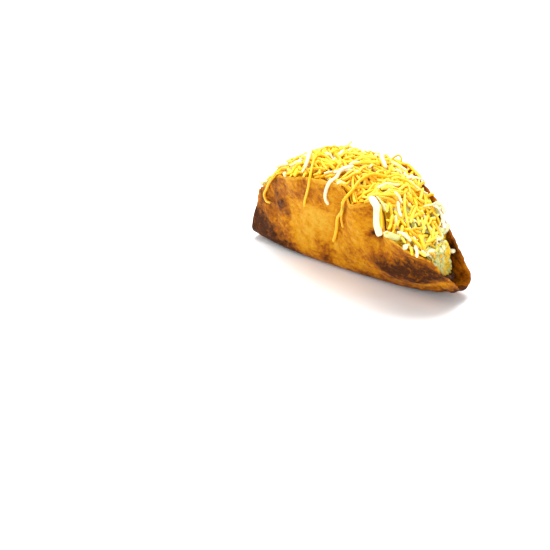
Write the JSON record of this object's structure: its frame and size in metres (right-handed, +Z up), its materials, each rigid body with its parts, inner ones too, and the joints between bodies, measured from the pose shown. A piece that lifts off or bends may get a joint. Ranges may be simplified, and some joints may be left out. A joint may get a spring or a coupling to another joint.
{
  "type": "taco",
  "caption": "Crisp fried corn tortilla folded round ground beef, lettuce and a heap of shredded cheese, resting on its fold.",
  "frame": {"origin": "middle of the flat strip under the fold, on the surface the taco rests on", "axes": "+X along the fold, towards the end where the filling stops short of the tortilla's edge; -Y towards the side that leans out; +Z up"},
  "size_m": [0.149, 0.0721, 0.0755],
  "materials": {
    "tortilla": "fried golden brown, blistered, slightly oily",
    "beef": "browned, crumbly, moist",
    "lettuce": "pale green, translucent, moist",
    "cheese": "yellow-orange and cream shreds, satin"
  },
  "bodies": {
    "root": {"tortilla": "tortilla", "beef": "beef", "lettuce": "lettuce", "cheese": "cheese"}
  },
  "joints": []
}
